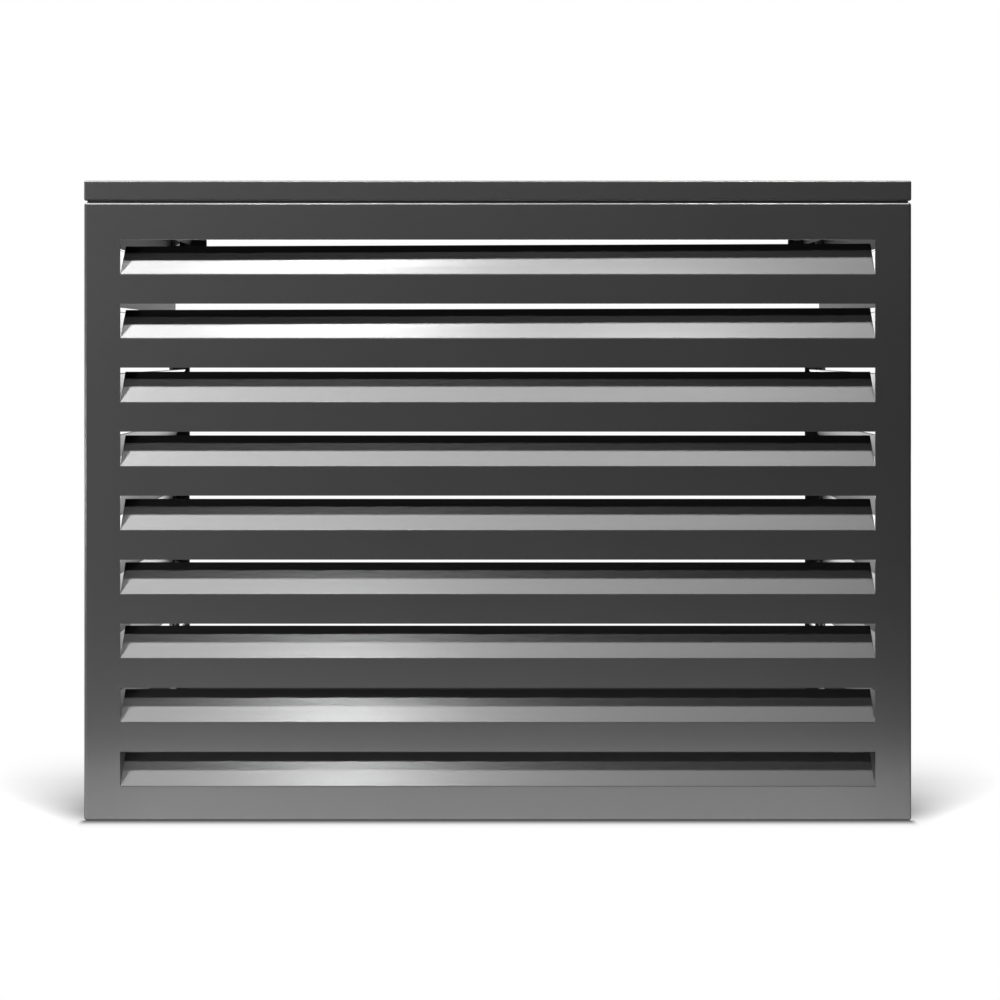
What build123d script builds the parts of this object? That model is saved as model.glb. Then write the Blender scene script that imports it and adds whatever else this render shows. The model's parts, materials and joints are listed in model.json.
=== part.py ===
"""Louvred sheet-metal screen for an outdoor air conditioner.

Three folded panels (front, left, right) stand on the floor round the unit. The back is open and goes
against the wall, and a shallow lid lifts off the top. The front faces -Y, the wall is at +Y, and the
origin is on the floor, in the middle of the footprint. All lengths are in millimetres.
"""

from build123d import *
import math
import os

# Overall sizes
width = 900.0
depth = 550.0
body_height = 672.5
lid_height = 22.0
lid_gap = 1.8

# Folded sheet
sheet = 1.5
bend = 3.0
lid_bend = 2.0
front_return = 25.0
rim = 30.0
side_flange = 24.5
top_lip = 15.0
flange_setback = 4.0
lid_return = 22.0

# Slots and the louvres that are cut out of them
louvre_count = 9
slot_height = 37.5
slot_floor_margin = 37.8
slot_top_margin = 40.6
slot_end_margin = 39.5
side_slot_margin = 40.0
cut_width = 0.15
louvre_bend = 2.0
louvre_end_taper = 2.2
front_lean = 29.0
side_lean = 35.0
# The left and right lean of the highest front louvres, from the third highest up, which are bent unevenly
high_louvre_leans = ((28.0, 28.0), (33.5, 27.0), (33.0, 24.0))

# Screws, nuts and washers that hold the panels together
screw_diameter = 5.0
screw_length = 12.0
screw_head_diameter = 9.5
screw_head_height = 2.75
screw_head_round = 1.9
screw_tip_chamfer = 0.5
socket_across_flats = 3.0
socket_depth = 1.6
screw_hole_diameter = 5.5
nut_across_flats = 8.0
nut_height = 4.7
nut_flange_diameter = 11.0
nut_flange_height = 1.0
nut_bore_diameter = 5.2
clinch_nut_diameter = 9.5
clinch_nut_height = 4.0
clinch_nut_chamfer = 0.5
washer_diameter = 10.0
washer_thickness = 1.0
join_screw_count = 4
join_screw_inset = 14.0
join_screw_end_margin = 60.0

# Angles that hold the side panels to the wall
angle_sheet = 2.0
angle_bend = 3.5
angle_leg = 20.0
angle_floor_gap = 40.0
angle_bracket_gap = 80.0
angle_wall_hole_count = 3
angle_wall_hole_inset = 9.0
angle_wall_hole_margin = 89.0
angle_screw_count = 4
angle_screw_inset = 8.5
angle_screw_margin = 45.0
wall_hole_diameter = 7.0

# Brackets that hold the upper corners to the wall
bracket_height = 68.0
bracket_top_gap = 4.5
bracket_side_leg = 36.0
bracket_wall_leg = 43.5
bracket_corner = 4.0
bracket_slot_length = 14.0
bracket_slot_inset = 23.5
bracket_screw_inset = 20.0
bracket_screw_margin = 17.0

# Lid: pins that go into rubber bushes in the panels, a rubber seal that it stands on, and a stiffener
pin_diameter = 6.0
pin_reach = 18.0
pin_tip = 2.0
pin_inset = 12.0
pin_end_inset = 45.0
pin_head_diameter = 10.0
pin_head_height = 2.0
pin_head_chamfer = 0.5
pin_hole_clearance = 0.1
bush_clearance = 0.3
bush_wall = 1.7
bush_lip = 2.0
bush_lip_height = 1.4
bush_seat_clearance = 0.15
seal_width = 8.0
seal_inset = 3.2
seal_edge = 0.3
seal_bush_gap = 2.0
stiffener_depth = 14.0
stiffener_crown = 30.0
stiffener_foot = 14.0
stiffener_sheet = 1.0
stiffener_end_gap = 25.0

overrun = 10.0

# Places that follow from the sizes
half_width = width / 2
front_y = -depth / 2
wall_y = depth / 2
seam_y = front_y + front_return
inner_face = half_width - sheet
lid_floor = body_height + lid_gap
lid_top = lid_floor + lid_height
lid_ceiling = lid_top - sheet
louvre_length = slot_height - cut_width
pitch = (body_height - slot_floor_margin - slot_top_margin - slot_height) / (louvre_count - 1)
slot_bottoms = [slot_floor_margin + i * pitch for i in range(louvre_count)]
front_slot_length = width - 2 * slot_end_margin
side_slot_length = wall_y - seam_y - 2 * side_slot_margin
side_slot_middle = (seam_y + wall_y) / 2


def block(x, y, z):
    """A box between a low and a high value along each axis."""
    size = (x[1] - x[0], y[1] - y[0], z[1] - z[0])
    return Pos(sum(x) / 2, sum(y) / 2, sum(z) / 2) * Box(*size)


def folded_box(x, y, z, radius):
    """A closed box of thin sheet, with every edge bent to one outer radius."""
    outside = block(x, y, z)
    inside = block(*[(low + sheet, high - sheet) for low, high in (x, y, z)])
    outside = fillet(outside.edges(), radius)
    inside = fillet(inside.edges(), radius - sheet)
    return outside - inside


def spread(low, high, count):
    """Evenly spaced places from low to high."""
    return [low + (high - low) * i / (count - 1) for i in range(count)]


# Louvres
def louvre_section(lean, x):
    """The louvre's section at x: it rises from the slot's lower edge (0, 0) and leans inward."""
    along = (math.sin(lean), math.cos(lean))
    through = (math.cos(lean), -math.sin(lean))
    tip = (along[0] * louvre_length, along[1] * louvre_length)
    tip_back = (tip[0] + through[0] * sheet, tip[1] + through[1] * sheet)
    root_back = (sheet, -sheet * math.tan(lean / 2))
    low = -louvre_bend
    outline = Polyline((0, low), (0, 0), tip, tip_back, root_back, (sheet, low), close=True)
    section = make_face(outline)
    section = fillet(section.vertices().sort_by_distance((0, 0))[0], louvre_bend)
    section = fillet(section.vertices().sort_by_distance(root_back)[0], louvre_bend - sheet)
    return Plane.YZ.offset(x) * section


def louvre(slot_length, leans):
    """One louvre with its root on the X axis, inward +Y. Its ends draw in towards the tip."""
    left, right = [math.radians(lean) for lean in leans]
    half = slot_length / 2
    if left == right:
        strip = extrude(louvre_section(left, -half), slot_length)
    else:
        strip = loft([louvre_section(left, -half), louvre_section(right, half)], ruled=True)
    root = half - cut_width
    tip = root - louvre_end_taper
    right_end = [(root, -louvre_bend), (root, 0), (tip, louvre_length)]
    left_end = [(-x, z) for x, z in reversed(right_end)]
    front_view = make_face(Polyline(*right_end, *left_end, close=True))
    return strip & extrude(Plane.XZ * front_view, slot_height, both=True)


def slot(slot_length):
    """What is cut from the panel round one louvre. Its ends run down past the start of the louvre's bend."""
    relief = louvre_bend / 2
    half = slot_length / 2
    return block((-half, half), (-overrun, sheet + overrun), (-relief, slot_height))


def front_leans():
    """The left and right lean of each front louvre, from the lowest to the highest."""
    even = [(front_lean, front_lean)] * (louvre_count - len(high_louvre_leans))
    return even + list(high_louvre_leans)


# Screws, nuts and washers: the seat is z = 0 and the shank points down
def screw():
    """Button-head screw with a hexagon socket."""
    head = Pos(0, 0, screw_head_height / 2) * Cylinder(screw_head_diameter / 2, screw_head_height)
    head = fillet(head.edges().group_by(Axis.Z)[-1], screw_head_round)
    shank = Pos(0, 0, -screw_length / 2) * Cylinder(screw_diameter / 2, screw_length)
    shank = chamfer(shank.edges().group_by(Axis.Z)[0], screw_tip_chamfer)
    hexagon = RegularPolygon(socket_across_flats / 2, 6, major_radius=False)
    socket = Pos(0, 0, screw_head_height - socket_depth) * extrude(hexagon, screw_head_height)
    return head + shank - socket


def flange_nut():
    """Hexagon nut with a round flange, below its seat."""
    hexagon = RegularPolygon(nut_across_flats / 2, 6, major_radius=False)
    body = extrude(hexagon, -nut_height)
    flange = Pos(0, 0, -nut_flange_height / 2) * Cylinder(nut_flange_diameter / 2, nut_flange_height)
    return body + flange - Cylinder(nut_bore_diameter / 2, 2 * nut_height + overrun)


def clinch_nut():
    """Round nut pressed on the far side of a rim, below its seat."""
    body = Pos(0, 0, -clinch_nut_height / 2) * Cylinder(clinch_nut_diameter / 2, clinch_nut_height)
    body = chamfer(body.edges().group_by(Axis.Z)[0], clinch_nut_chamfer)
    return body - Cylinder(nut_bore_diameter / 2, 2 * clinch_nut_height + overrun)


def washer():
    """Plain washer that lies on the seat."""
    ring = Pos(0, 0, washer_thickness / 2) * Cylinder(washer_diameter / 2, washer_thickness)
    return ring - Cylinder(screw_hole_diameter / 2, 2 * washer_thickness + overrun)


def hole(diameter):
    """A round cutter, long enough for any sheet."""
    return Cylinder(diameter / 2, 2 * overrun)


def copies(shape, places):
    """The same small piece at several places, as one group of separate solids."""
    return Compound([place * shape for place in places])


# Where the small pieces go, for the right side. The left side is the mirror image.
join_z = spread(join_screw_end_margin, body_height - join_screw_end_margin, join_screw_count)
join_x = half_width - join_screw_inset
join_turn = Rot(-90, 0, 0)
join_screw_seat = seam_y + sheet + washer_thickness
join_places = [Pos(join_x, join_screw_seat, z) * join_turn for z in join_z]
join_washer_places = [Pos(join_x, seam_y + sheet, z) * join_turn for z in join_z]
join_nut_places = [Pos(join_x, seam_y - sheet, z) * join_turn for z in join_z]
join_hole_places = [Pos(join_x, seam_y, z) * join_turn for z in join_z]

bracket_top = body_height - bracket_top_gap
bracket_floor = bracket_top - bracket_height
angle_floor = angle_floor_gap
angle_top = bracket_floor - angle_bracket_gap
angle_screw_z = spread(angle_floor + angle_screw_margin, angle_top - angle_screw_margin, angle_screw_count)
angle_screw_y = wall_y - angle_leg + angle_screw_inset
angle_wall_x = inner_face - angle_wall_hole_inset
angle_wall_z = spread(
    angle_floor + angle_wall_hole_margin, angle_top - angle_wall_hole_margin, angle_wall_hole_count
)
bracket_screw_z = [bracket_floor + bracket_screw_margin, bracket_top - bracket_screw_margin]
bracket_screw_y = wall_y - bracket_screw_inset
bracket_slot_place = Pos(inner_face - bracket_slot_inset, wall_y, (bracket_floor + bracket_top) / 2)

side_turn = Rot(0, 90, 0)
side_spots = [(angle_screw_y, z) for z in angle_screw_z]
bracket_spots = [(bracket_screw_y, z) for z in bracket_screw_z]


def on_side(x, spots):
    """Places on the right side at a given x, pointing outward."""
    return [Pos(x, y, z) * side_turn for y, z in spots]


pin_y = [seam_y + pin_end_inset, wall_y - pin_end_inset]
pin_x = half_width - pin_inset
pin_places = [Pos(side * pin_x, y, 0) for side in (-1, 1) for y in pin_y]
bush_bore = pin_diameter / 2 + bush_clearance
bush_neck = bush_bore + bush_wall
bush_hole = bush_neck + bush_seat_clearance


# Panels
def front_panel():
    """Front tray: its back is open inside a rim, and nine louvres are cut from its face."""
    panel = folded_box((-half_width, half_width), (front_y, seam_y), (0, body_height), bend)
    window = (rim - half_width, half_width - rim)
    panel -= block(window, (seam_y - bend, seam_y + overrun), (-overrun, body_height - top_lip))
    for bottom, leans in zip(slot_bottoms, front_leans()):
        place = Pos(0, front_y, bottom)
        panel -= place * slot(front_slot_length)
        panel += place * louvre(front_slot_length, leans)
    for place in join_hole_places:
        panel -= place * hole(screw_hole_diameter)
        panel -= mirror(place * hole(screw_hole_diameter), Plane.YZ)
    return panel


def right_side_panel():
    """Side tray: louvred face, front wall against the front panel's rim, top flange with a lip."""
    edge = half_width - side_flange
    panel = folded_box((edge, half_width), (seam_y, wall_y + overrun), (0, body_height), bend)
    panel -= block((0, width), (wall_y, wall_y + 2 * overrun), (-overrun, body_height + overrun))
    whole_length = (seam_y - overrun, wall_y + overrun)
    panel -= block((edge - overrun, edge + bend), whole_length, (-overrun, body_height - top_lip))
    flange_end = (wall_y - flange_setback, wall_y + overrun)
    flange_top = (body_height - top_lip - overrun, body_height + overrun)
    panel -= block((edge - overrun, half_width - bend), flange_end, flange_top)
    leans = (side_lean, side_lean)
    for bottom in slot_bottoms:
        place = Pos(half_width, side_slot_middle, bottom) * Rot(0, 0, 90)
        panel -= place * slot(side_slot_length)
        panel += place * louvre(side_slot_length, leans)
    for place in join_hole_places + on_side(half_width, side_spots + bracket_spots):
        panel -= place * hole(screw_hole_diameter)
    for y in pin_y:
        panel -= Pos(pin_x, y, body_height) * hole(2 * bush_hole)
    return panel


def lid():
    """Shallow tray turned upside down, with its edges folded in once more and holes there for the pins."""
    tray = folded_box((-half_width, half_width), (front_y, wall_y), (lid_floor, lid_top), lid_bend)
    window_x = (lid_return - half_width, half_width - lid_return)
    window_y = (front_y + lid_return, wall_y - lid_return)
    tray -= block(window_x, window_y, (lid_floor - overrun, lid_floor + lid_bend))
    for place in pin_places:
        tray -= place * Pos(0, 0, lid_floor) * hole(pin_diameter + 2 * pin_hole_clearance)
    return tray


def lid_stiffener():
    """Top-hat section bonded under the middle of the lid."""
    top = lid_ceiling
    low = top - stiffener_depth
    crown = stiffener_crown / 2
    foot = crown + stiffener_foot
    t = stiffener_sheet
    outline = [(-foot, top), (-foot, top - t), (-crown, top - t), (-crown, low), (crown, low)]
    outline += [(crown, top - t), (foot, top - t), (foot, top), (crown - t, top)]
    outline += [(crown - t, low + t), (t - crown, low + t), (t - crown, top)]
    half = half_width - stiffener_end_gap
    return extrude(Plane.YZ.offset(-half) * make_face(Polyline(*outline, close=True)), 2 * half)


# Wall fixings
def right_wall_angle():
    """Folded angle in the side panel's rear corner, with holes for wall screws."""
    z = (angle_floor, angle_top)
    side_leg = block((inner_face - angle_sheet, inner_face), (wall_y - angle_leg, wall_y), z)
    wall_leg = block((inner_face - angle_leg, inner_face), (wall_y - angle_sheet, wall_y), z)
    angle = side_leg + wall_leg
    upright = angle.edges().filter_by(Axis.Z)
    angle = fillet(upright.sort_by_distance((inner_face, wall_y, 0))[0], angle_bend)
    upright = angle.edges().filter_by(Axis.Z)
    inner_corner = (inner_face - angle_sheet, wall_y - angle_sheet, 0)
    angle = fillet(upright.sort_by_distance(inner_corner)[0], angle_bend - angle_sheet)
    for place in on_side(inner_face, side_spots):
        angle -= place * hole(screw_hole_diameter)
    for z_hole in angle_wall_z:
        angle -= Pos(angle_wall_x, wall_y, z_hole) * join_turn * hole(wall_hole_diameter)
    return angle


def right_top_bracket():
    """Short wide angle in the upper rear corner, with a slotted hole for a wall screw."""
    z = (bracket_floor, bracket_top)
    side_leg = block((inner_face - angle_sheet, inner_face), (wall_y - bracket_side_leg, wall_y), z)
    side_leg = fillet(side_leg.edges().filter_by(Axis.X).group_by(Axis.Y)[0], bracket_corner)
    wall_leg = block((inner_face - bracket_wall_leg, inner_face), (wall_y - angle_sheet, wall_y), z)
    wall_leg = fillet(wall_leg.edges().filter_by(Axis.Y).group_by(Axis.X)[0], bracket_corner)
    bracket = side_leg + wall_leg
    upright = bracket.edges().filter_by(Axis.Z)
    bracket = fillet(upright.sort_by_distance((inner_face, wall_y, bracket_floor))[0], angle_bend)
    for place in on_side(inner_face, bracket_spots):
        bracket -= place * hole(screw_hole_diameter)
    opening = extrude(SlotOverall(bracket_slot_length, wall_hole_diameter), overrun, both=True)
    return bracket - bracket_slot_place * join_turn * opening


# Lid fittings
def lid_pin():
    """Pin through the lid's folded edge, with a flat head above it and a tapered tip."""
    seat = lid_floor + sheet
    length = seat - body_height + pin_reach
    head = Pos(0, 0, seat + pin_head_height / 2) * Cylinder(pin_head_diameter / 2, pin_head_height)
    head = chamfer(head.edges().group_by(Axis.Z)[-1], pin_head_chamfer)
    shank = Pos(0, 0, seat - length / 2) * Cylinder(pin_diameter / 2, length)
    return head + chamfer(shank.edges().group_by(Axis.Z)[0], pin_tip, pin_tip / 2)


def pin_bush():
    """Rubber bush that snaps into a flange hole, with a lip above and below the sheet."""
    neck = Pos(0, 0, body_height - sheet / 2) * Cylinder(bush_neck, sheet)
    ring = Cylinder(bush_neck + bush_lip, bush_lip_height)
    above = Pos(0, 0, body_height + bush_lip_height / 2) * ring
    below = Pos(0, 0, body_height - sheet - bush_lip_height / 2) * ring
    above = fillet(above.edges().group_by(Axis.Z)[-1], bush_lip_height / 2)
    below = fillet(below.edges().group_by(Axis.Z)[0], bush_lip_height / 2)
    return neck + above + below - Pos(0, 0, body_height) * hole(2 * bush_bore)


def seal_strip(x, y):
    """Flat rubber strip bonded under the lid's folded edge. It stands on a panel's top flange."""
    strip = block(x, y, (body_height, lid_floor))
    return chamfer(strip.edges().group_by(Axis.Z)[0], seal_edge)


def lid_seal():
    """One strip along the front and three along each side, with gaps for the bushes."""
    outer = half_width - seal_inset
    front = front_y + seal_inset
    strips = [seal_strip((-outer, outer), (front, front + seal_width))]
    clear = bush_neck + bush_lip + seal_bush_gap
    starts = [seam_y + seal_inset] + [y + clear for y in pin_y]
    ends = [y - clear for y in pin_y] + [wall_y - flange_setback - seal_inset]
    for start, end in zip(starts, ends):
        strips.append(seal_strip((outer - seal_width, outer), (start, end)))
        strips.append(seal_strip((-outer, seal_width - outer), (start, end)))
    return Compound(strips)

# All the pieces by name
angle_nut_face = inner_face - angle_sheet
right_pieces = {
    "side_panel": right_side_panel(),
    "wall_angle": right_wall_angle(),
    "top_bracket": right_top_bracket(),
    "join_screws": copies(screw(), join_places),
    "join_washers": copies(washer(), join_washer_places),
    "join_nuts": copies(clinch_nut(), join_nut_places),
    "angle_screws": copies(screw(), on_side(half_width, side_spots)),
    "angle_nuts": copies(flange_nut(), on_side(angle_nut_face, side_spots)),
    "bracket_screws": copies(screw(), on_side(half_width, bracket_spots)),
    "bracket_nuts": copies(flange_nut(), on_side(angle_nut_face, bracket_spots)),
}
pieces = {
    "front_panel": front_panel(),
    "lid": lid(),
    "lid_stiffener": lid_stiffener(),
    "lid_pins": copies(lid_pin(), pin_places),
    "pin_bushes": copies(pin_bush(), pin_places),
    "lid_seal": lid_seal(),
}
for name, shape in right_pieces.items():
    pieces["right_" + name] = shape
    pieces["left_" + name] = mirror(shape, Plane.YZ)

os.makedirs("parts", exist_ok=True)
for name, shape in pieces.items():
    export_step(shape, f"parts/{name}.step")
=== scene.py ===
"""Looks of the louvred air conditioner screen: finishes, floor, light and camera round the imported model.

Everything is in metres in the model's own frame: +X right, +Y towards the wall, +Z up, floor at z = 0.
"""

import json
import math

import bpy
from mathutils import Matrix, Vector


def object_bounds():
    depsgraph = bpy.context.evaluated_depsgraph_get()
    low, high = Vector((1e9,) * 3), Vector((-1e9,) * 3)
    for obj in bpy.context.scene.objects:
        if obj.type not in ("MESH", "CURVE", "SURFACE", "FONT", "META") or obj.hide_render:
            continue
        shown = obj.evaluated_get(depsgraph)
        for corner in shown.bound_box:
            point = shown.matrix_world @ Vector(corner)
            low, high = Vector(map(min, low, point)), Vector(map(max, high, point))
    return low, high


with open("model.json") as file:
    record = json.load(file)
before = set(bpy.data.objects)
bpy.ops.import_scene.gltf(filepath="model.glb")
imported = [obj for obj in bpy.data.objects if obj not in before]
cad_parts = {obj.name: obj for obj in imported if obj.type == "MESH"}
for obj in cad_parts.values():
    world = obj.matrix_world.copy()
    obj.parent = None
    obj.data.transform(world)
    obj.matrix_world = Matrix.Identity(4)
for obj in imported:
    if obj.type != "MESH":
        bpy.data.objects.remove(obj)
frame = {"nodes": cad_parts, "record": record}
cad_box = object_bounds()

# Half the object's width over its screw heads, its front, and where the front panel's bend meets the floor
HALF_WIDTH = (cad_box[1][0] - cad_box[0][0]) / 2
FRONT_Y = cad_box[0][1]
PANEL_BEND = 0.003
CONTACT_Y = FRONT_Y + PANEL_BEND

# Camera: level, looking along +Y at the front panel
CAMERA_PLACE = Vector((-0.002, -2.222, 0.512))
CAMERA_TURN = (math.radians(90.0), 0.0, 0.0)
LENS_MM = 64.48
SENSOR_MM = 36.0
SHIFT_X = 0.0041
SHIFT_Y = -0.150

# Lights: a broken row of narrow ones high in front, strongest at the left, a smaller one further off, and a
# low one at the left. Each has its place, its width and height, and its power in watts.
HIGH_ROW_Y = -1.912
HIGH_ROW_Z = 4.41
HIGH_ROW_HEIGHT = 0.12
LIGHTS = {
    "high_left": (Vector((-2.25, HIGH_ROW_Y, HIGH_ROW_Z)), (0.3, HIGH_ROW_HEIGHT), 790.0),
    "high_middle": (Vector((-0.5, HIGH_ROW_Y, HIGH_ROW_Z)), (0.8, HIGH_ROW_HEIGHT), 110.0),
    "high_right": (Vector((0.93, HIGH_ROW_Y, HIGH_ROW_Z)), (0.8, HIGH_ROW_HEIGHT), 240.0),
    "far": (Vector((-0.74, -5.17, 5.12)), (0.15, 0.12), 103.0),
    "low": (Vector((-3.0, -3.0, 0.14)), (0.6, 0.24), 92.0),
}
LIGHT_TARGET = Vector((0.0, FRONT_Y, 0.35))

# Sky for light and reflections: bright high up behind the object, with a weaker band at the horizon, and
# dim in front. Plain white to the camera. Y and Z here are parts of a direction of length 1.
BACK_BRIGHTNESS = 1.5
FRONT_BRIGHTNESS = 0.04
SEEN_BRIGHTNESS = 1.0
SKY_TURN_Y = (-0.1, 0.15)
SKY_RISE_Z = (0.05, 0.35)
HORIZON_SHARE = 0.35
HORIZON_ENDS_Z = (0.028, 0.05)

# Floor for light and reflections: bright in a patch just in front of the object, and dark elsewhere; the
# dark under the object is painted shade. Behind the object the floor glows, as painted light, by a share
# that changes with y.
FLOOR_X = (-5.0, 5.0)
FLOOR_Y = (-1.6, 6.0)
FLOOR_BRIGHT = 0.95
FLOOR_DARK = 0.03
PATCH_RISE_Y = (-0.65, -0.5)
PATCH_FALL_Y = (-0.277, -0.2745)
PATCH_REACH_X = (0.38, 0.85)
BACK_GLOW = 8.0
BACK_GLOW_SHARES = (
    (0.2, 0.0), (0.42, 0.04), (0.75, 0.14), (1.45, 0.16), (1.9, 0.27),
    (2.3, 0.54), (2.9, 0.55), (3.5, 1.0), (4.4, 0.8), (6.0, 0.1),
)

# Floor to the camera, under and behind the object: a dark painted shadow. It widens with y, just inside the
# camera's lines of sight past the object's sides, and its edges are sharp in front and softer further back.
UNDER_SHADOW_LEVEL = 0.03
UNDER_SHADOW_CLEARS_Y = (0.5, 0.9)
UNDER_SHADOW_WIDENS_Y = (FRONT_Y, 0.5)
UNDER_SHADOW_ENDS_X = (0.448, 0.625)
UNDER_SHADOW_SOFTENS_Y = (FRONT_Y, 0.1)
UNDER_SHADOW_EDGES = (0.004, 0.06)

# Floor to the camera, in front: white, with a narrow shade whose depth falls with the distance from the
# object, and which ends at the object's sides. A depth is 0 for white and 1 for black.
FRONT_SHADE_DEPTHS = (
    (0.0, 0.84), (0.002, 0.78), (0.006, 0.62), (0.010, 0.40),
    (0.014, 0.20), (0.018, 0.10), (0.022, 0.045), (0.03, 0.0),
)
FRONT_SHADE_ENDS = (-0.004, 0.004)

# Floor to the camera, at both sides: white, with a soft shade. How far it reaches sideways and its depth at
# the object change with y.
SIDE_SHADE_REACHES = (
    (-0.30, 0.010), (-0.27, 0.024), (-0.25, 0.041), (-0.228, 0.060),
    (-0.184, 0.097), (-0.137, 0.127), (-0.089, 0.150), (0.06, 0.165),
)
SIDE_SHADE_DEPTHS = (
    (-0.295, 0.0), (-0.28, 0.10), (-0.27, 0.27), (-0.262, 0.41), (-0.254, 0.52),
    (-0.245, 0.60), (-0.228, 0.68), (-0.184, 0.60), (-0.137, 0.455), (-0.089, 0.35),
    (-0.038, 0.19), (0.015, 0.07), (0.06, 0.0),
)

# The middle stretch of a noise's values, which a finish spreads over its own range
NOISE_SPREAD = (0.3, 0.7)

WHITE = (1.0, 1.0, 1.0, 1.0)
RISING = (0.0, 1.0)
FALLING = (1.0, 0.0)


class Graph:
    """A node tree, with short ways to add and join nodes."""

    def __init__(self, owner):
        owner.use_nodes = True
        self.tree = owner.node_tree

    def node(self, kind, **settings):
        """A new node, with its own settings."""
        made = self.tree.nodes.new(kind)
        for name, value in settings.items():
            setattr(made, name, value)
        return made

    def join(self, source, target):
        """A link from one node's output to another's input."""
        self.tree.links.new(source, target)

    def coordinates(self, kind):
        """A place on a piece, or a direction in the world."""
        return self.node("ShaderNodeTexCoord").outputs[kind]

    def split(self, vector):
        """The X, Y and Z of a place or direction."""
        node = self.node("ShaderNodeSeparateXYZ")
        self.join(vector, node.inputs["Vector"])
        return node.outputs["X"], node.outputs["Y"], node.outputs["Z"]

    def is_camera_ray(self):
        """1 where the camera looks straight at it, and 0 for light and reflections."""
        return self.node("ShaderNodeLightPath").outputs["Is Camera Ray"]

    def remap(self, source, span, levels):
        """A value that runs between two levels while the source crosses a span."""
        node = self.node("ShaderNodeMapRange")
        for name, value in zip(("From Min", "From Max", "To Min", "To Max"), (*span, *levels)):
            node.inputs[name].default_value = value
        self.join(source, node.inputs["Value"])
        return node.outputs["Result"]

    def blend(self, share, none, full):
        """A value between two levels, by a share from 0 to 1."""
        return self.remap(share, (0.0, 1.0), (none, full))

    def compute(self, kind, *sources, clamp=False):
        """One sum or comparison of sockets and plain numbers."""
        node = self.node("ShaderNodeMath", operation=kind, use_clamp=clamp)
        for source, target in zip(sources, node.inputs):
            if isinstance(source, float):
                target.default_value = source
            else:
                self.join(source, target)
        return node.outputs["Value"]

    def product(self, first, *others):
        """Everything multiplied together."""
        result = first
        for other in others:
            result = self.compute("MULTIPLY", result, other)
        return result

    def ramp(self, source, stops):
        """Colours between (place, colour) stops, with the places from 0 to 1."""
        node = self.node("ShaderNodeValToRGB")
        elements = node.color_ramp.elements
        while len(elements) < len(stops):
            elements.new(1.0)
        for element, (place, colour) in zip(elements, stops):
            element.position = place
            element.color = (*colour, 1.0)
        self.join(source, node.inputs["Fac"])
        return node.outputs["Color"]

    def curve(self, source, pairs):
        """Levels between (place, level) pairs, with the places in the source's own unit."""
        low, high = pairs[0][0], pairs[-1][0]
        stops = [((place - low) / (high - low), (level,) * 3) for place, level in pairs]
        return self.ramp(self.remap(source, (low, high), RISING), stops)


class Finish(Graph):
    """A material, with short ways to fill its shader's sockets."""

    def __init__(self, name):
        self.material = bpy.data.materials.new(name)
        super().__init__(self.material)
        self.shader = self.tree.nodes["Principled BSDF"]

    def set(self, constants):
        """Constants on the shader's own sockets."""
        for name, value in constants.items():
            self.shader.inputs[name].default_value = value

    def drive(self, name, source):
        """A socket of the shader joined to a node's output."""
        self.join(source, self.shader.inputs[name])

    def noise(self, scale, detail, roughness=0.5):
        """Noise with features about 1 / scale metres wide."""
        node = self.node("ShaderNodeTexNoise")
        for name, value in (("Scale", scale), ("Detail", detail), ("Roughness", roughness)):
            node.inputs[name].default_value = value
        self.join(self.coordinates("Object"), node.inputs["Vector"])
        return node.outputs["Fac"]

    def tone(self, noise, dark, light, spread=NOISE_SPREAD):
        """Base colour that wanders between a dark and a light one."""
        self.drive("Base Color", self.ramp(noise, list(zip(spread, (dark, light)))))

    def gloss(self, noise, smooth, rough):
        """Roughness that wanders between two values."""
        self.drive("Roughness", self.remap(noise, NOISE_SPREAD, (smooth, rough)))

    def relief(self, noise, depth):
        """Bumps of a depth in metres."""
        bump = self.node("ShaderNodeBump")
        bump.inputs["Distance"].default_value = depth
        self.join(noise, bump.inputs["Height"])
        self.drive("Normal", bump.outputs["Normal"])


def powder_coat():
    """Anthracite powder coat: satin, with a fine grain and a clear sheen."""
    finish = Finish("powder_coat")
    finish.tone(finish.noise(scale=9.0, detail=3.0), dark=(0.002,) * 3, light=(0.003,) * 3)
    finish.gloss(finish.noise(scale=160.0, detail=3.0), smooth=0.48, rough=0.51)
    finish.relief(finish.noise(scale=2600.0, detail=1.0), depth=0.00002)
    finish.set({"Coat Weight": 0.48, "Coat Roughness": 0.218})
    return finish.material


def galvanised():
    """Zinc coating of the clinch nuts, with a faint spangle."""
    finish = Finish("galvanised")
    spangle = finish.noise(scale=220.0, detail=2.0, roughness=0.6)
    finish.tone(spangle, dark=(0.42, 0.43, 0.44), light=(0.58, 0.59, 0.6), spread=(0.35, 0.7))
    finish.gloss(finish.noise(scale=300.0, detail=3.0), smooth=0.34, rough=0.5)
    finish.relief(finish.noise(scale=900.0, detail=2.0), depth=0.00002)
    finish.set({"Metallic": 1.0})
    return finish.material


def stainless():
    """Satin stainless steel of the join screws and washers, the pins and the angle nuts."""
    finish = Finish("stainless")
    cloud = finish.noise(scale=400.0, detail=2.0)
    finish.tone(cloud, dark=(0.56, 0.55, 0.53), light=(0.68, 0.67, 0.65))
    finish.gloss(finish.noise(scale=900.0, detail=3.0), smooth=0.22, rough=0.36)
    finish.relief(finish.noise(scale=2200.0, detail=2.0), depth=0.00001)
    finish.set({"Metallic": 1.0})
    return finish.material


def black_screws():
    """Black coating of the angle screws, and of the bracket screws and nuts."""
    finish = Finish("black_screws")
    finish.tone(finish.noise(scale=500.0, detail=2.0), dark=(0.018,) * 3, light=(0.03,) * 3)
    finish.gloss(finish.noise(scale=1200.0, detail=2.0), smooth=0.36, rough=0.5)
    finish.relief(finish.noise(scale=3000.0, detail=1.0), depth=0.00001)
    return finish.material


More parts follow.
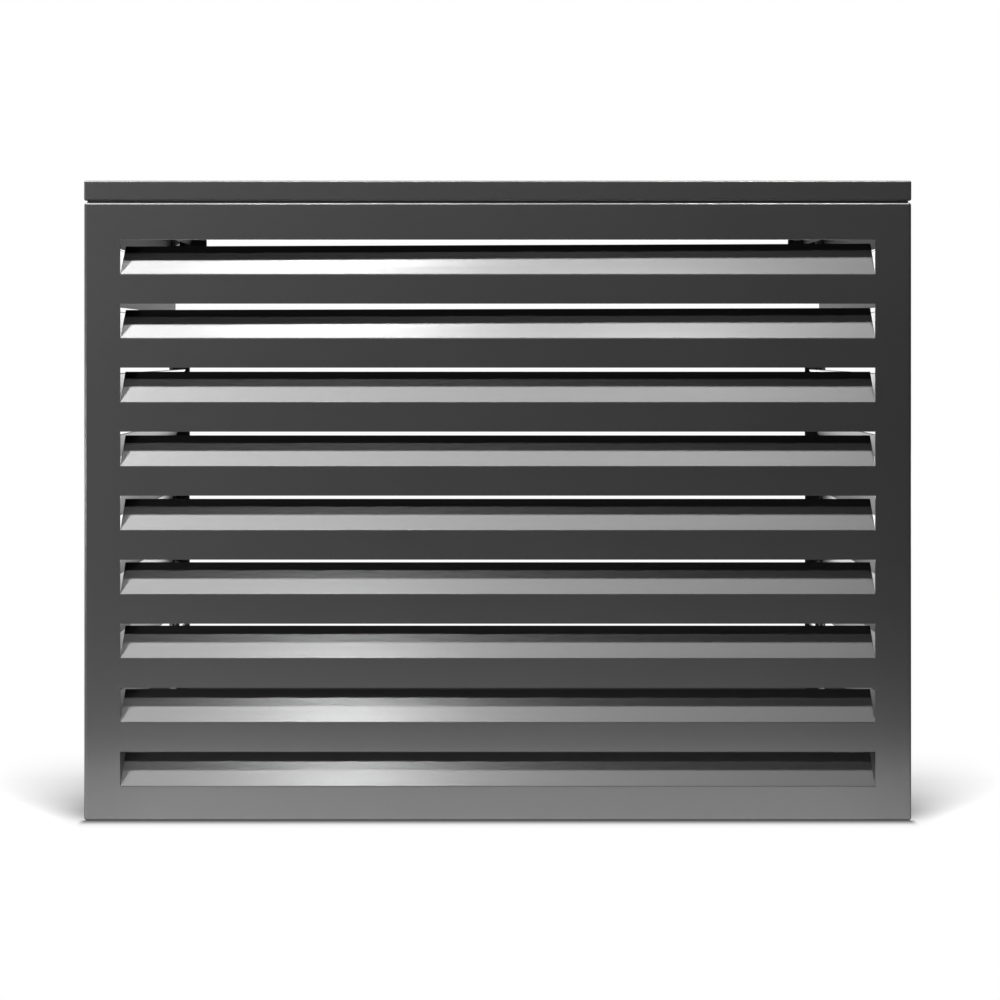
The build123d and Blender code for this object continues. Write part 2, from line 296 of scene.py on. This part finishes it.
def rubber():
    """Matt black rubber of the seal strips and bushes."""
    finish = Finish("rubber")
    finish.tone(finish.noise(scale=300.0, detail=3.0), dark=(0.013,) * 3, light=(0.024,) * 3)
    finish.gloss(finish.noise(scale=700.0, detail=2.0), smooth=0.7, rough=0.85)
    finish.relief(finish.noise(scale=2500.0, detail=2.0), depth=0.00003)
    return finish.material


def dress():
    """Gives every part of the model the finish of its slot."""
    finishes = {
        "powder_coat": powder_coat(),
        "galvanised": galvanised(),
        "screws": stainless(),
        "black_screws": black_screws(),
        "rubber": rubber(),
    }
    for part in frame["record"]["subparts"]:
        for slot in frame["nodes"][part["node"]].material_slots:
            slot.material = finishes[part["material_slot"]]


def lit_floor(finish, x, y):
    """What light and reflections meet: a bright patch in front of the object, and a painted glow behind it.
    """
    patch = finish.product(
        finish.remap(y, PATCH_RISE_Y, RISING),
        finish.remap(y, PATCH_FALL_Y, FALLING),
        finish.remap(x, PATCH_REACH_X, FALLING),
    )
    # Painted shade: the floor is dark under the object, where the bright patch ends at its front.
    finish.drive("Base Color", finish.blend(patch, FLOOR_DARK, FLOOR_BRIGHT))
    # Painted light: the floor glows behind the object, though it is no lamp.
    finish.drive("Emission Strength", finish.product(finish.curve(y, BACK_GLOW_SHARES), BACK_GLOW))
    finish.set({"Roughness": 1.0, "Specular IOR Level": 0.0, "Emission Color": WHITE})


def side_shade(finish, beside, y):
    """How dark the camera sees the floor at both sides of the object, 0 to 1."""
    share = finish.compute("DIVIDE", beside, finish.curve(y, SIDE_SHADE_REACHES))
    fade = finish.compute("SUBTRACT", 1.0, finish.compute("MAXIMUM", share, 0.0), clamp=True)
    return finish.product(fade, finish.curve(y, SIDE_SHADE_DEPTHS))


def front_shade(finish, beside, y):
    """How dark the camera sees the floor in front of the object, 0 to 1."""
    ahead = finish.compute("SUBTRACT", FRONT_Y, y)
    return finish.product(
        finish.remap(beside, FRONT_SHADE_ENDS, FALLING),
        finish.curve(ahead, FRONT_SHADE_DEPTHS),
        finish.compute("LESS_THAN", y, CONTACT_Y),
    )


def under_shadow_share(finish, x, y):
    """1 in the painted shadow under and behind the object, and 0 in the open."""
    within = finish.compute("SUBTRACT", finish.remap(y, UNDER_SHADOW_WIDENS_Y, UNDER_SHADOW_ENDS_X), x)
    return finish.product(
        finish.compute("DIVIDE", within, finish.remap(y, UNDER_SHADOW_SOFTENS_Y, UNDER_SHADOW_EDGES), clamp=True),
        finish.remap(y, UNDER_SHADOW_CLEARS_Y, FALLING),
        finish.compute("GREATER_THAN", y, CONTACT_Y),
    )


def seen_floor(finish, x, y):
    """How bright the camera sees the floor: white, with painted shadows round the object."""
    beside = finish.compute("SUBTRACT", x, HALF_WIDTH)
    shade = finish.compute("MAXIMUM", side_shade(finish, beside, y), front_shade(finish, beside, y))
    level = finish.compute("SUBTRACT", 1.0, shade)
    # Painted shadow under and behind the object, over the painted shades beside and in front.
    return finish.product(level, finish.blend(under_shadow_share(finish, x, y), 1.0, UNDER_SHADOW_LEVEL))


def floor_material():
    """Floor with one face for the camera, white with painted shadows, and another for light and
    reflections.
    """
    finish = Finish("studio_floor")
    x, y, _ = finish.split(finish.coordinates("Object"))
    x = finish.compute("ABSOLUTE", x)
    lit_floor(finish, x, y)

    seen = finish.node("ShaderNodeEmission")
    finish.join(seen_floor(finish, x, y), seen.inputs["Strength"])
    choice = finish.node("ShaderNodeMixShader")
    finish.join(finish.is_camera_ray(), choice.inputs["Fac"])
    finish.join(finish.shader.outputs["BSDF"], choice.inputs[1])
    finish.join(seen.outputs["Emission"], choice.inputs[2])
    finish.join(choice.outputs["Shader"], finish.tree.nodes["Material Output"].inputs["Surface"])
    return finish.material


def floor():
    """Floor plane, with painted shadows, painted shade and a painted glow."""
    left, right = FLOOR_X
    front, back = FLOOR_Y
    corners = [(left, front, 0.0), (right, front, 0.0), (right, back, 0.0), (left, back, 0.0)]
    mesh = bpy.data.meshes.new("studio_floor")
    mesh.from_pydata(corners, [], [(0, 1, 2, 3)])
    mesh.materials.append(floor_material())
    plane = bpy.data.objects.new("studio_floor", mesh)
    bpy.context.collection.objects.link(plane)


def surroundings():
    """Sky that is white to the camera, and bright or dim by direction for light and reflections."""
    world = bpy.data.worlds.new("studio")
    bpy.context.scene.world = world
    graph = Graph(world)
    _, y, z = graph.split(graph.coordinates("Generated"))
    rise = graph.remap(z, SKY_RISE_Z, RISING)
    band = graph.remap(z, HORIZON_ENDS_Z, (HORIZON_SHARE, 0.0))
    turn = graph.remap(y, SKY_TURN_Y, (FRONT_BRIGHTNESS, BACK_BRIGHTNESS))

    choice = graph.node("ShaderNodeMix")
    graph.join(graph.is_camera_ray(), choice.inputs["Factor"])
    graph.join(graph.product(turn, graph.compute("ADD", rise, band)), choice.inputs["A"])
    choice.inputs["B"].default_value = SEEN_BRIGHTNESS
    background = graph.tree.nodes["Background"]
    background.inputs["Color"].default_value = WHITE
    graph.join(choice.outputs["Result"], background.inputs["Strength"])


def lamp(name, place, size, power):
    """A rectangular light aimed at the middle of the front panel."""
    data = bpy.data.lights.new(name, "AREA")
    data.shape = "RECTANGLE"
    data.size, data.size_y = size
    data.energy = power
    light = bpy.data.objects.new(name, data)
    light.location = place
    light.rotation_euler = (LIGHT_TARGET - place).to_track_quat("-Z", "Y").to_euler()
    bpy.context.collection.objects.link(light)


def camera():
    """The photograph's view."""
    data = bpy.data.cameras.new("camera")
    data.lens = LENS_MM
    data.sensor_width = SENSOR_MM
    data.shift_x = SHIFT_X
    data.shift_y = SHIFT_Y
    eye = bpy.data.objects.new("camera", data)
    eye.location = CAMERA_PLACE
    eye.rotation_euler = CAMERA_TURN
    bpy.context.collection.objects.link(eye)
    bpy.context.scene.camera = eye


camera()
dress()
floor()
surroundings()
for light_name, (light_place, light_size, light_power) in LIGHTS.items():
    lamp(light_name, light_place, light_size, light_power)
bpy.context.scene.view_settings.view_transform = "Standard"
